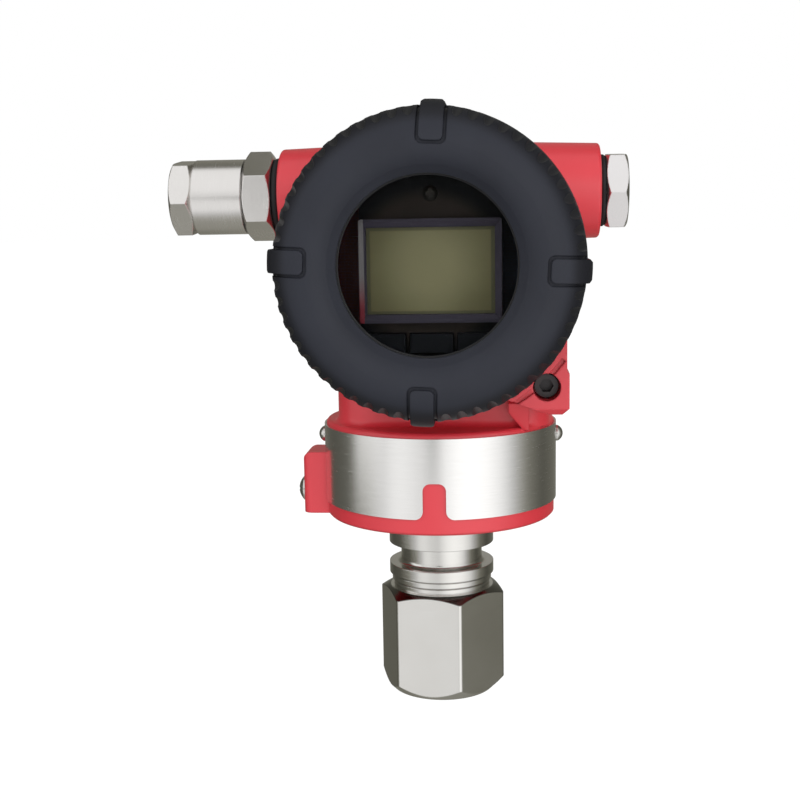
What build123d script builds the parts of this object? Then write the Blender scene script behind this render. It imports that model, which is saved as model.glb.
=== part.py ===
from build123d import *
from math import atan2, cos, degrees, radians, sin, sqrt, tan
import os

# Pressure transmitter with a round two-compartment head on a hexagon process connection.
# Frame: origin at the centre of the hexagon's lower face, +Z up, the window looks along -Y,
# the cable gland is on the -X side and the blanking plug on the +X side. Millimetres.

# Clearances shared by many pieces
thread_gap = 0.3            # radial gap left for a fine thread that is not cut
cover_thread_gap = 0.8      # the same for the coarse threads of the covers
conduit_thread_gap = 0.7    # and for those of the conduit entries, the plug and the gland
seat_gap = 0.3              # two round or moving pieces that seat on each other
slip_fit = 0.1              # a shank or board in its hole
cut_over = 1.0              # how far a cutting tool runs past the face it starts from
sink = 0.5                  # how far a moulded or cast feature is sunk in what carries it
dome_rim = 0.25             # rim of a dome head, as a share of its height
cross_share = 1.1           # longest cross recess, as a share of the head's radius

# Process connection, a turned hexagon bar
hex_flats = 36.0
hex_turn = 18.8             # degrees from the front to the nearest corner, towards +X
hex_height = 34.2
hex_corner_round = 1.3
hex_foot_radius = 16.8      # where the lower 45 degree chamfer starts
hex_top_radius = 17.0       # where the upper 30 degree chamfer starts
foot_ring_radius = 15.6
foot_ring_height = 1.7
groove_radius = 14.8
groove_height = 0.5
mid_ring_radius = 16.2
mid_ring_height = 1.7
upper_ring_radius = 17.0
upper_ring_height = 3.4
neck_radius = 13.2
neck_height = 6.8
neck_root = 1.2             # fillet at the foot of the neck
disc_radius = 17.0
disc_height = 10.2
spigot_radius = 14.0
spigot_height = 19.0
process_bore_radius = 10.0  # root of an M20 x 1.5 female thread
process_bore_depth = 17.0
process_mouth_chamfer = 0.8
port_cone_height = 2.0      # cone from the thread's end to the port
port_radius = 3.0
cell_bore_radius = 10.2
cell_floor = 24.0           # height of the seat of the sensor cell

# Sensor cell
cell_height = 12.0
cell_ring_height = 4.0
cell_ring_bore = 6.0
cell_seal_section = 1.8
cell_seal_play = 0.4        # how much wider the groove is than its seal
cell_seal_squeeze = 0.3
cell_groove_depth = 1.5
cell_face_radius = 8.5      # shallow oil space behind the diaphragm
cell_face_depth = 0.3
ring_slot_width = 2.0
ring_slot_depth = 1.5
diaphragm_thickness = 0.4
wave_count = 3              # ring waves pressed in the diaphragm
wave_inset = 2.0            # first wave's crest from the rim
wave_pitch = 2.4
wave_width = 1.2
wave_lift = 0.18
cell_pin_count = 4
cell_pin_radius = 0.5
cell_pin_height = 6.0
cell_pin_circle = 4.2
header_thickness = 1.6
header_radius = 8.6

# Collar of the housing
collar_radius = 36.6
collar_height = 31.0
collar_edge = 1.5
collar_foot_edge = 0.6
collar_wall = 3.4
collar_hub_radius = 20.0
collar_recess_depth = 22.0
collar_rib = 3.0
collar_rib_lift = 2.0       # the ribs stop above the collar's lower face
collar_rib_count = 6
collar_rib_turn = 30.0
lead_way_radius = 7.0
lead_way_overrun = 4.0      # past the lowest point of the barrel's wall

# Waist between collar and barrel
waist_left_step = 5.1       # its left side stands in from the collar's side
waist_right_step = 1.6
waist_front_step = 13.6     # and its front and rear
waist_corner = 13.0
waist_reach = 24.0          # how far it runs up from the collar into the barrel
waist_root = 2.0            # fillet round its foot on the collar

# Barrel of the housing, along Y
barrel_rise = 80.9          # its axis above the collar's lower face
flange_step = 0.5           # its flanges stand back from the covers' skirts
barrel_step = 2.4           # between the barrel and its flanges
flange_thickness = 4.6
flange_face = 35.7          # distance of each flange's face from the head's middle plane
cover_thread_radius = 39.2
front_spigot = 14.3
rear_spigot = 10.0
cavity_radius = 35.5
bulkhead_front = 15.0
bulkhead_back = 11.0
lead_hole_radius = 4.0
lead_hole_drop = 24.0

# Conduit bosses
conduit_inset = 21.2        # their axis below the top of the barrel
boss_reach = 8.5            # their end faces beyond the sides of the barrel
gland_boss_short = 1.6      # and how much shorter the boss for the gland is
boss_radius = 14.6
boss_root_radius = 15.6
boss_root = 18.0            # where they start, inside the barrel
boss_root_round = 2.0       # fillet where a boss leaves the barrel
boss_edge = 1.1
conduit_bore_radius = 9.7

# Lugs for the cover lock screws, on the right hand side
lug_margin = 6.6            # from the lock screw's middle to the lug's side
lug_drop = 8.3              # from the lock screw's middle to the lug's lower face
lug_step = 0.7
lug_foot_slope = 6.0        # the inner end of its lower face is this much higher
lug_shelf = 13.0            # height of the thick lower part of the lug
lug_top = 29.5
lug_inner = 18.0
lug_depth = 12.0
lug_bevel = 1.8
lug_corner = 2.0
web_top_width = 6.2         # web from the front lug down to the collar
web_foot_width = 2.4
web_half_foot = 2.0
web_sink = 3.0
web_height = 12.0
lock_clearance = 4.4        # from the covers' skirts to the lock screw's middle
lock_angle = -47.6
pocket_radius = 4.1
pocket_depth = 8.0
lock_groove_inset = 1.8     # nearer to the barrel's axis than the lock screw
lock_groove_width = 1.4
lock_groove_depth = 1.5
lock_groove_arcs = ((-62.5, -50.5), (-44.7, -36.5))
lock_head_radius = 3.5
lock_head_height = 4.0
lock_socket_flats = 3.6
lock_socket_depth = 3.0
lock_shank_radius = 1.9
lock_shank_length = 3.4

# Outer ground lug and its screw
ground_stand = 7.6          # its face beyond the collar's side
ground_half_width = 7.0
ground_height = 20.0
ground_edge = 3.0
ground_sink = 6.0           # how far the lug runs into the collar
ground_screw_rise = 6.9
ground_head_radius = 4.0
ground_head_height = 2.3
ground_shank_radius = 2.0
ground_shank_length = 9.0
cross_width = 1.0
cross_length = 4.2
cross_depth = 1.2

# Stainless strip round the front of the collar
band_gap = 0.1
band_thickness = 0.6
band_height = 24.4
band_drop = 1.6             # its upper edge below the collar's upper face
band_half_angle = 99.0
band_notch_width = 7.0
band_notch_height = 11.0
band_notch_round = 2.3
band_notch_flare = 2.6      # round lower corners beside the notch
band_lug_gap = 0.6
rivet_drop = 4.4            # below the band's upper edge
rivet_head_radius = 2.55
rivet_head_height = 2.2
rivet_shank_radius = 1.2
rivet_shank_length = 3.5

# Covers
skirt_gap = 0.3             # between a skirt and its flange
skirt_wall = 2.9            # outside the seal's pocket
skirt_draft = 1.1           # from a skirt's end to its shoulder
crest_radius = 33.5
shoulder_height = 11.0      # from shoulder to crest along the axis
front_skirt = 15.0          # from the skirt's end to the shoulder
rear_skirt = 10.0
seal_pocket_depth = 3.0
seal_section = 2.2
cover_thread_depth = 12.5
rear_thread_runout = 1.6
cover_pocket_outer = 38.4
cover_pocket_floor = 4.8    # cover wall left in front of the pocket
cover_pocket_draft = 1.0
bevel_radius = 27.5
bevel_drop = 2.2            # below the crest
bevel_depth = 2.2
window_radius = 25.2
lip_thickness = 1.0
rear_dish_radius = 27.0
rear_dish_drop = 1.4
rear_wall = 4.2

# Grip flutes and wrench pads of the covers
flute_pitch = 6.0
flute_radius = 1.6
flute_reach = 0.7           # where the flutes start, as a share of the way from crest to shoulder
flute_end_depth = 0.35      # their depth where they run out at the shoulder
flute_length = 24.0
pad_count = 4
pad_turn = -2.6             # the covers sit a little clockwise
pad_width = 6.5
pad_stand = 0.7             # how far the pads stand out beyond the skirt
pad_start = 0.1             # outside the crest
pad_lift = 1.5
pad_skirt_wall = 1.5        # cover wall behind a pad's foot
pad_front_lift = 0.6
pad_round = 1.4
pad_chamfer = 1.3
moat_width = 0.9
moat_depth = 0.8
pad_clear_angle = 8.0       # no flute closer to a pad's middle than this

# Window of the front cover
glass_radius = 29.0
glass_thickness = 5.0
gasket_thickness = 1.0
gasket_step = 0.6           # its bore is this much larger than the lip's
retainer_radius = 30.8
retainer_bore = 26.0
retainer_height = 4.0
retainer_slot_width = 3.0
retainer_slot_depth = 1.6
window_wall = 2.4           # ring wall that carries the retainer
window_wall_draft = 0.4
window_wall_overrun = 0.4   # past the retainer's rear face

# Display module, stacked forward from the bulkhead
post_radius = 4.0
post_height = 5.0
upper_post_rise = 20.1      # above the barrel's axis
lower_post_drop = 29.6
board_thickness = 1.6
main_board_radius = 33.0
plug_socket = (8.0, 16.0, 6.0)
plug_socket_place = (-20.0, 0.0)
chip = (10.0, 10.0, 1.4)
chip_place = (13.0, 0.0)
coil_radius = 4.0
coil_height = 7.0
coil_place = (-6.0, -16.0)
standoff_flats = 5.5
standoff_height = 9.4
display_board_half_width = 19.5
display_board_radius = 32.0
bezel_post_height = 2.4
bezel_post_radius = 2.8
bezel_half_width = 20.6
bezel_radius = 33.6
bezel_plate = 2.0
frame_width = 40.8
frame_height = 29.6
frame_lift = 4.5
frame_corner = 0.8
frame_slope_width = 1.5     # its front slopes in towards the panel
frame_slope_depth = 1.0
frame_center_drop = 1.8     # the frame's middle below the barrel's axis
lcd_width = 36.8
lcd_height = 24.8
lcd_sink = 1.4              # the panel's face behind the frame's face
lcd_thickness = 2.4
lcd_carrier = 1.0           # how far the panel's rear plate runs past the opening
lcd_ledge = 1.0             # front wall of the frame over the rear plate's rim
key_width = 12.4
key_height = 5.5
key_pitch = 13.8
key_drop = 22.8
key_stand = 1.6
key_travel = 0.8
key_corner = 0.6
key_flange = 0.8            # above and below the cap
key_side_flange = 0.5
key_flange_thickness = 0.6
key_stem_radius = 1.5
display_head_radius = 2.2
display_head_height = 1.5
display_shank_radius = 1.4
display_shank_length = 9.0

# Rear compartment
block_width = 44.0
block_height = 20.0
block_depth = 12.0
block_corner = 2.0
block_drop = 9.0            # the block's middle below the barrel's axis
terminal_count = 3
terminal_pitch = 11.0
terminal_cell_width = 8.6
terminal_cell_depth = 5.0
terminal_cell_wall = 4.5    # block wall above the open cells
terminal_screw_drop = 1.0   # below the block's middle
terminal_hole_floor = 1.5
washer_overhang = 0.6
washer_thickness = 0.8
terminal_head_radius = 3.2
terminal_head_height = 2.4
terminal_shank_radius = 1.6
terminal_shank_length = 4.0
block_screw_spread = 19.0
block_sink_radius = 2.8
block_sink_depth = 6.0
block_hole_depth = 3.0      # in the bulkhead
block_head_radius = 2.6
block_head_height = 1.6
block_shank_length = 8.5
inner_ground_drop = 26.0
inner_ground_boss_radius = 5.0
inner_ground_boss_height = 4.0
inner_ground_head_radius = 3.5
inner_ground_shank_length = 3.6

# Cable gland on the left
gland_seal_section = 2.3
gland_seal_radius = 11.9
gland_hex_flats = 24.4
gland_hex_length = 9.0
gland_hex_turn = 26.0
gland_shank_radius = 9.15
gland_shank_length = 14.0
gland_bore = 6.6
gland_male_radius = 9.4
gland_male_length = 9.0
gland_cup_radius = 8.4
gland_cup_depth = 8.0
gland_rubber_bore = 5.0
gland_rubber_length = 10.5
gland_ring_radius = 9.2
gland_ring_bore = 6.8
gland_ring_thickness = 1.2
gland_nut_gap = 0.5
gland_nut_radius = 11.8
gland_nut_skirt = 15.6
gland_nut_flats = 22.0
gland_nut_hex_length = 7.4
gland_nut_turn = -9.0
gland_nut_neck_radius = 10.7
gland_nut_neck = 0.4         # shallow neck between skirt and hexagon

# Blanking plug on the right
plug_seal_section = 1.6
plug_seal_radius = 11.1
plug_flats = 22.0
plug_hex_length = 6.8
plug_turn = 4.0
plug_shank_radius = 9.0
plug_shank_length = 11.5
plug_wall = 2.5             # round the hollow in its shank
plug_floor = 2.0

# Heights and planes worked out from the sizes above
ring_zone = foot_ring_height + mid_ring_height + 2 * groove_height + upper_ring_height
neck_foot = hex_height + ring_zone
disc_foot = neck_foot + neck_height
collar_foot = disc_foot + disc_height
collar_top = collar_foot + collar_height
barrel_axis = collar_foot + barrel_rise
band_top = collar_top - band_drop
band_foot = band_top - band_height
waist_left = collar_radius - waist_left_step
waist_right = collar_radius - waist_right_step
waist_half_depth = collar_radius - waist_front_step
front_end = flange_face + front_spigot
rear_end = flange_face + rear_spigot
skirt_end = flange_face + skirt_gap
seal_radius = cover_thread_radius + seat_gap + seal_section
seal_pocket_radius = seal_radius + seat_gap
cover_bore_radius = cover_thread_radius + cover_thread_gap
skirt_radius = seal_pocket_radius + skirt_wall
shoulder_radius = skirt_radius - skirt_draft
flange_radius = skirt_radius - flange_step
barrel_radius = flange_radius - barrel_step
conduit_axis = barrel_axis + barrel_radius - conduit_inset
boss_end = barrel_radius + boss_reach
gland_boss_end = boss_end - gland_boss_short
ground_reach = collar_radius + ground_stand
pad_inner = crest_radius + pad_start
pad_outer = skirt_radius + pad_stand
lock_radius = skirt_radius + lock_clearance
lock_groove_radius = lock_radius - lock_groove_inset
lock_x = lock_radius * cos(radians(lock_angle))
lock_rise = lock_radius * sin(radians(lock_angle))
lug_side = lock_x + lug_margin
lug_base = barrel_axis + lock_rise - lug_drop
pads_per_turn = 360.0 / pad_count

front = Plane(origin=(0, 0, barrel_axis), x_dir=(1, 0, 0), z_dir=(0, -1, 0))
rear = Plane(origin=(0, 0, barrel_axis), x_dir=(-1, 0, 0), z_dir=(0, 1, 0))
left = Plane(origin=(0, 0, conduit_axis), x_dir=(0, -1, 0), z_dir=(-1, 0, 0))
right = Plane(origin=(0, 0, conduit_axis), x_dir=(0, 1, 0), z_dir=(1, 0, 0))


def on(plane, solid):
    """Set a piece drawn about the local Z axis onto one of the planes above."""
    return plane.location * solid


def turned(outline):
    """Turn a closed outline of (radius, height) about the local Z axis."""
    return revolve(Plane.XZ * make_face(outline), Axis.Z)


def lathe(*points):
    return turned(Polyline(*points, close=True))


def rod(radius, start, end):
    """Round bar along local Z between two heights."""
    return Pos(0, 0, start) * extrude(Circle(radius), end - start)


def tube(outer, inner, start, end):
    return Pos(0, 0, start) * extrude(Circle(outer) - Circle(inner), end - start)


def box_between(x_range, y_range, z_range):
    size = [high - low for low, high in (x_range, y_range, z_range)]
    middle = [(low + high) / 2 for low, high in (x_range, y_range, z_range)]
    return Pos(*middle) * Box(*size)


def hex_bar(flats, length, turn=0.0, corner_share=0.97, angle=30.0):
    """Hexagon bar from height 0 whose corners are turned off at both ends."""
    corner = flats / sqrt(3)
    face_radius = flats / 2 * corner_share
    drop = (corner - face_radius) * tan(radians(angle))
    bar = extrude(RegularPolygon(corner, 6, rotation=turn), length)
    blank = lathe((0, 0), (face_radius, 0), (corner, drop), (corner, length - drop),
                  (face_radius, length), (0, length))
    return bar & blank


def ring_seal(radius, section, height):
    """O-ring: outer radius of the ring, diameter of its section, height of its middle."""
    outline = Pos(radius - section / 2, height) * Circle(section / 2)
    return revolve(Plane.XZ * outline, Axis.Z)


def cross_recess(width, length, depth, face):
    """Cross cut down from a face at the given height."""
    bar = Box(length, width, depth)
    tip = Pos(0, 0, face - depth / 2)
    return tip * (bar + Rot(0, 0, 90) * bar)


def dome_arc(radius, rim, height):
    """Arc of a circle from a rim up to a crown on the axis."""
    rise = height - rim
    sphere = (radius ** 2 + rise ** 2) / (2 * rise)
    across = radius / 2
    return ThreePointArc(
        (radius, rim), (across, height - sphere + sqrt(sphere ** 2 - across ** 2)), (0, height))


def dome_screw(head_radius, head_height, shank_radius, shank_length, cross):
    """Dome head screw that seats at height 0, with its head on the +Z side."""
    rim = dome_rim * head_height
    outline = Polyline((0, -shank_length), (shank_radius, -shank_length), (shank_radius, 0),
                       (head_radius, 0), (head_radius, rim))
    outline += dome_arc(head_radius, rim, head_height)
    outline += Line((0, head_height), (0, -shank_length))
    screw = turned(outline)
    if cross:
        screw -= cross_recess(cross_width, min(cross_length, head_radius * cross_share),
                              cross_depth, head_height + slip_fit)
    return screw


# Wetted end

def process_connection():
    corner = hex_flats / sqrt(3)
    foot_drop = corner - hex_foot_radius
    top_drop = (corner - hex_top_radius) * tan(radians(30))
    section = RegularPolygon(corner, 6, rotation=hex_turn - 90)
    hexagon = extrude(fillet(section.vertices(), hex_corner_round), hex_height)
    hexagon &= lathe((0, 0), (hex_foot_radius, 0), (corner, foot_drop),
                     (corner, hex_height - top_drop), (hex_top_radius, hex_height), (0, hex_height))
    z1 = hex_height + foot_ring_height
    z2 = z1 + groove_height
    z3 = z2 + mid_ring_height
    z4 = z3 + groove_height
    outline = Polyline(
        (0, cell_floor), (foot_ring_radius, cell_floor), (foot_ring_radius, z1), (groove_radius, z1),
        (groove_radius, z2), (mid_ring_radius, z2), (mid_ring_radius, z3), (groove_radius, z3),
        (groove_radius, z4), (upper_ring_radius, z4), (upper_ring_radius, neck_foot),
        (neck_radius + neck_root, neck_foot))
    outline += ThreePointArc(
        (neck_radius + neck_root, neck_foot),
        (neck_radius + neck_root * (1 - sqrt(0.5)), neck_foot + neck_root * (1 - sqrt(0.5))),
        (neck_radius, neck_foot + neck_root))
    outline += Polyline(
        (neck_radius, neck_foot + neck_root), (neck_radius, disc_foot), (disc_radius, disc_foot),
        (disc_radius, collar_foot), (spigot_radius, collar_foot),
        (spigot_radius, collar_foot + spigot_height), (0, collar_foot + spigot_height), (0, cell_floor))
    body = hexagon + turned(outline)
    body -= rod(cell_bore_radius, cell_floor, collar_foot + spigot_height + cut_over)
    mouth = process_bore_radius + process_mouth_chamfer
    body -= lathe((0, -cut_over), (mouth + cut_over, -cut_over), (mouth, 0),
                  (process_bore_radius, process_mouth_chamfer),
                  (process_bore_radius, process_bore_depth),
                  (port_radius, process_bore_depth + port_cone_height), (port_radius, cell_floor + cut_over),
                  (0, cell_floor + cut_over))
    return body


def isolating_diaphragm():
    foot = cell_floor + seat_gap
    radius = cell_bore_radius - seat_gap
    waves = [(radius, foot)]
    for index in range(wave_count):
        ridge = radius - wave_inset - wave_pitch * index
        waves += [(ridge + wave_width / 2, foot), (ridge, foot + wave_lift), (ridge - wave_width / 2, foot)]
    waves.append((0, foot))
    top = [(x, z + diaphragm_thickness) for x, z in reversed(waves)]
    return lathe(*waves, *top)


def cell_base():
    """Height of the sensor cell's lower face, on the rim of its diaphragm."""
    return cell_floor + seat_gap + diaphragm_thickness


def sensor_capsule():
    base = cell_base()
    radius = cell_bore_radius - slip_fit
    groove = cell_seal_section + cell_seal_play
    groove_mid = base + cell_height / 2
    body = rod(radius, base, base + cell_height)
    body -= rod(cell_face_radius, base - cut_over, base + cell_face_depth)
    body -= tube(radius + cut_over, radius - cell_groove_depth,
                 groove_mid - groove / 2, groove_mid + groove / 2)
    body += rod(cell_ring_bore - slip_fit, base + cell_height, base + cell_height + cell_ring_height)
    pin = rod(cell_pin_radius, 0, cell_pin_height + cell_ring_height)
    for place in pin_places(base + cell_height):
        body += place * pin
    return body


def pin_places(height):
    """The cell's pins, evenly round its middle at a height."""
    pitch = 360 / cell_pin_count
    return [Rot(0, 0, pitch * (index + 0.5)) * Pos(cell_pin_circle, 0, height)
            for index in range(cell_pin_count)]


def capsule_o_ring():
    return ring_seal(cell_bore_radius - slip_fit / 2, cell_seal_section - cell_seal_squeeze,
                     cell_base() + cell_height / 2)


def capsule_lock_ring():
    start = cell_base() + cell_height
    ring = tube(cell_bore_radius - slip_fit, cell_ring_bore, start, start + cell_ring_height)
    for turn in (0, 90):
        slot = Box(2 * cell_bore_radius, ring_slot_width, 2 * ring_slot_depth)
        ring -= Rot(0, 0, turn) * Pos(0, 0, start + cell_ring_height) * slot
    return ring


def header_board():
    start = cell_base() + cell_height + cell_ring_height + seat_gap
    board = rod(header_radius, start, start + header_thickness)
    hole = rod(cell_pin_radius + slip_fit, start - cut_over, start + header_thickness + cut_over)
    for place in pin_places(0):
        board -= place * hole
    return board


# Housing

def barrel_blank():
    """Barrel, flanges and the two threaded spigots, drawn forward along local Z."""
    slope = flange_radius - barrel_radius
    inner = flange_face - flange_thickness
    return lathe(
        (0, -rear_end), (cover_thread_radius, -rear_end), (cover_thread_radius, -flange_face),
        (flange_radius, -flange_face), (flange_radius, -inner), (barrel_radius, -inner + slope),
        (barrel_radius, inner - slope), (flange_radius, inner), (flange_radius, flange_face),
        (cover_thread_radius, flange_face), (cover_thread_radius, front_end), (0, front_end))


def boss_blank(end):
    """Drafted conduit boss along local Z with a rounded end."""
    round_start = end - boss_edge
    side = boss_radius
    outline = Polyline((0, boss_root), (boss_root_radius, boss_root), (side, round_start))
    outline += ThreePointArc(
        (side, round_start),
        (side - boss_edge * (1 - sqrt(0.5)), round_start + boss_edge * sqrt(0.5)),
        (side - boss_edge, end))
    outline += Polyline((side - boss_edge, end), (0, end), (0, boss_root))
    return turned(outline)


def collar_blank():
    outline = Polyline((0, collar_foot), (collar_radius - collar_foot_edge, collar_foot),
                       (collar_radius, collar_foot + collar_foot_edge),
                       (collar_radius, collar_top - collar_edge))
    outline += ThreePointArc(
        (collar_radius, collar_top - collar_edge),
        (collar_radius - collar_edge * (1 - sqrt(0.5)), collar_top - collar_edge * (1 - sqrt(0.5))),
        (collar_radius - collar_edge, collar_top))
    outline += Polyline((collar_radius - collar_edge, collar_top), (0, collar_top), (0, collar_foot))
    return turned(outline)


def waist_blank():
    width = waist_left + waist_right
    plan = RectangleRounded(width, 2 * waist_half_depth, waist_corner)
    middle = (waist_right - waist_left) / 2
    return Pos(middle, 0, collar_top - cut_over) * extrude(plan, waist_reach)


def head_blank():
    """Barrel, collar, waist and conduit bosses with their rounded roots, still solid."""
    cast = on(front, barrel_blank()) + collar_blank() + waist_blank()
    cast += [on(left, boss_blank(gland_boss_end)), on(right, boss_blank(boss_end))]
    at_foot = [edge for edge in cast.edges() if abs(edge.center().Z - collar_top) < slip_fit]
    cast = fillet([edge for edge in at_foot if edge.length < 2 * collar_radius], waist_root)
    above = [edge for edge in cast.edges() if edge.center().Z > barrel_axis]
    roots = [edge for edge in above if boss_root < abs(edge.center().X) < barrel_radius
             and edge.length > 4 * boss_radius]
    return fillet(roots, boss_root_round)


def lug_blank(side):
    """Lug of a cover lock screw: side is -1 at the front and +1 at the rear."""
    low = lug_base
    shelf = low + lug_shelf
    top = shelf + lug_top - lug_shelf
    outline = Polyline(
        (lug_inner, top), (lug_side - lug_step, top), (lug_side - lug_step, shelf),
        (lug_side, shelf - lug_step), (lug_side, low + lug_corner), (lug_side - lug_corner, low),
        (waist_right - cut_over, low), (lug_inner, low + lug_foot_slope), close=True)
    plate = extrude(Plane.XZ * make_face(outline), lug_depth)
    bounds = plate.bounding_box()
    lug = Pos(0, -flange_face - bounds.min.Y, 0) * plate
    bevel = Polyline((-flange_face - cut_over, low - cut_over),
                     (-flange_face - cut_over, low + lug_bevel + cut_over),
                     (-flange_face + lug_bevel + cut_over, low - cut_over), close=True)
    lug -= Pos(-cut_over, 0, 0) * extrude(Plane.YZ * make_face(bevel), 2 * lug_side)
    return lug if side < 0 else mirror(lug, Plane.XZ)


def lug_web():
    """Web under the front lug that narrows down to the collar."""
    outline = Polyline((web_half_foot - waist_half_depth, collar_top - cut_over),
                       (-waist_half_depth - web_half_foot, collar_top - cut_over),
                       (web_sink - flange_face, lug_base + web_sink),
                       (web_half_foot - waist_half_depth, lug_base + web_height), close=True)
    side = extrude(Plane.YZ * make_face(outline), web_top_width)
    taper = web_top_width - web_foot_width
    face = Polyline((0, lug_base + web_height), (0, lug_base), (taper, collar_top),
                    (taper, collar_top - cut_over), (web_top_width, collar_top - cut_over),
                    (web_top_width, lug_base + web_height), close=True)
    web = side & extrude(Plane.XZ * make_face(face), flange_face)
    return Pos(waist_right - waist_corner, 0, 0) * web


def ground_lug():
    reach = ground_reach - collar_radius + ground_sink
    block = box_between((-ground_reach, -ground_reach + reach),
                        (-ground_half_width, ground_half_width),
                        (collar_foot, collar_foot + ground_height))
    outer = block.edges().group_by(Axis.X)[0]
    rounded = [edge for edge in outer if edge.center().Z > collar_foot + slip_fit]
    return fillet(rounded, ground_edge)


def lock_groove():
    """Arc groove in the lug's face, in front of the flange and round the barrel's axis."""
    tools = []
    for start, end in lock_groove_arcs:
        arc = CenterArc((0, 0), lock_groove_radius, start, end - start)
        strip = extrude(trace(arc, lock_groove_width), lock_groove_depth + cut_over)
        tools.append(Pos(0, 0, flange_face - lock_groove_depth) * strip)
    return tools


def collar_recess():
    """Ring recess under the collar, crossed by ribs."""
    ring = tube(collar_radius - collar_wall, collar_hub_radius,
                collar_foot - cut_over, collar_foot + collar_recess_depth)
    for turn in range(collar_rib_count):
        rib = box_between((0, collar_radius), (-collar_rib / 2, collar_rib / 2),
                          (collar_foot + collar_rib_lift, collar_foot + collar_recess_depth + cut_over))
        ring -= Rot(0, 0, collar_rib_turn + 360 / collar_rib_count * turn) * rib
    return ring


def post_places():
    return ((0, upper_post_rise), (0, -lower_post_drop))


def housing():
    cast = head_blank() + [lug_blank(-1), lug_blank(1), lug_web(), ground_lug()]
    cast -= on(front, rod(cavity_radius, bulkhead_front, front_end + cut_over))
    cast -= on(front, rod(cavity_radius, -rear_end - cut_over, bulkhead_back))
    for side in (left, right):
        cast -= on(side, rod(conduit_bore_radius, boss_root, boss_end + cut_over))
    cast -= rod(spigot_radius + slip_fit, collar_foot - cut_over, collar_foot + spigot_height + slip_fit)
    cast -= rod(lead_way_radius, collar_foot + spigot_height - cut_over,
                barrel_axis - cavity_radius + lead_way_overrun)
    cast -= collar_recess()
    cast -= on(front, Pos(0, -lead_hole_drop, 0)
               * rod(lead_hole_radius, bulkhead_back - cut_over, bulkhead_front + cut_over))
    for plane, across in ((front, 1), (rear, -1)):
        spot = Pos(across * lock_x, lock_rise, 0)
        pocket = rod(pocket_radius, flange_face - pocket_depth, flange_face + cut_over)
        shank = rod(lock_shank_radius + slip_fit, flange_face - lug_depth - cut_over, flange_face)
        cast -= on(plane, spot * pocket)
        cast -= on(plane, spot * shank)
    cast -= [on(front, tool) for tool in lock_groove()]
    screw_hole = rod(ground_shank_radius + slip_fit, 0, ground_shank_length + cut_over)
    cast -= Pos(-ground_reach, 0, ground_screw_height()) * Rot(0, 90, 0) * screw_hole
    for across in (-1, 1):
        hole = rod(rivet_shank_radius + slip_fit, collar_radius - rivet_shank_length,
                   collar_radius + cut_over)
        cast -= Pos(0, 0, band_top - rivet_drop) * Rot(0, 90 * across, 0) * hole
    for x, y in post_places():
        post = rod(post_radius, bulkhead_front - sink, bulkhead_front + post_height)
        post -= rod(display_shank_radius + slip_fit, bulkhead_front, bulkhead_front + post_height + cut_over)
        cast += on(front, Pos(x, y, 0) * post)
    boss = rod(inner_ground_boss_radius, -bulkhead_back - sink, inner_ground_boss_height - bulkhead_back)
    boss -= rod(terminal_shank_radius + slip_fit, -bulkhead_back,
                inner_ground_boss_height - bulkhead_back + cut_over)
    cast += on(rear, Pos(0, -inner_ground_drop, 0) * boss)
    for across in (-1, 1):
        hole = rod(terminal_shank_radius + slip_fit, -bulkhead_back - block_hole_depth,
                   cut_over - bulkhead_back)
        cast -= on(rear, Pos(across * block_screw_spread, -block_drop, 0) * hole)
    return cast


# Strip and screws on the outside of the housing

def nameplate_band():
    inner = collar_radius + band_gap
    outer = inner + band_thickness
    ring = tube(outer, inner, band_foot, band_top)
    keep = ring & band_sector(outer + cut_over)
    keep -= Pos(0, 0, band_foot) * extrude(Plane.XZ * notch_plan(), outer + cut_over)
    reach = ground_half_width + band_lug_gap
    keep -= box_between((-outer - cut_over, 0), (-reach, outer),
                        (band_foot - cut_over, collar_foot + ground_height + band_lug_gap))
    for across in (-1, 1):
        hole = rod(rivet_shank_radius + slip_fit, collar_radius - cut_over, outer + cut_over)
        keep -= Pos(0, 0, band_top - rivet_drop) * Rot(0, 90 * across, 0) * hole
    return keep


def notch_plan():
    """Notch in the strip's lower edge, with a round top and flared lower corners."""
    half = band_notch_width / 2
    flare = band_notch_flare
    top = band_notch_height
    plan = Rectangle(2 * half, top + cut_over, align=(Align.CENTER, Align.MIN))
    plan = Pos(0, -cut_over) * fillet(plan.vertices().group_by(Axis.Y)[-1], band_notch_round)
    skirt = Rectangle(2 * (half + flare), flare + cut_over, align=(Align.CENTER, Align.MIN))
    skirt = Pos(0, -cut_over) * skirt
    for across in (-1, 1):
        skirt -= Pos(across * (half + flare), flare) * Circle(flare)
    return plan + skirt


def band_sector(reach):
    """Wedge of space, symmetric about the front, that the strip fills."""
    start = -90 - band_half_angle
    arc = CenterArc((0, 0), 2 * reach, start, 2 * band_half_angle)
    wedge = make_face(arc + Polyline(arc @ 1, (0, 0), arc @ 0))
    return Pos(0, 0, band_foot - cut_over) * extrude(wedge, band_height + 2 * cut_over)


def band_rivets():
    face = collar_radius + band_gap + band_thickness
    rivets = []
    for across in (-1, 1):
        rivet = dome_screw(rivet_head_radius, rivet_head_height, rivet_shank_radius,
                           rivet_shank_length, False)
        rivets.append(Pos(0, 0, band_top - rivet_drop) * Rot(0, 90 * across, 0)
                      * Pos(0, 0, face) * rivet)
    return Compound(children=rivets)


def ground_screw_height():
    return collar_foot + ground_screw_rise


def ground_screw():
    screw = dome_screw(ground_head_radius, ground_head_height, ground_shank_radius,
                       ground_shank_length, True)
    return Pos(-ground_reach, 0, ground_screw_height()) * Rot(0, -90, 0) * screw


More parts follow.
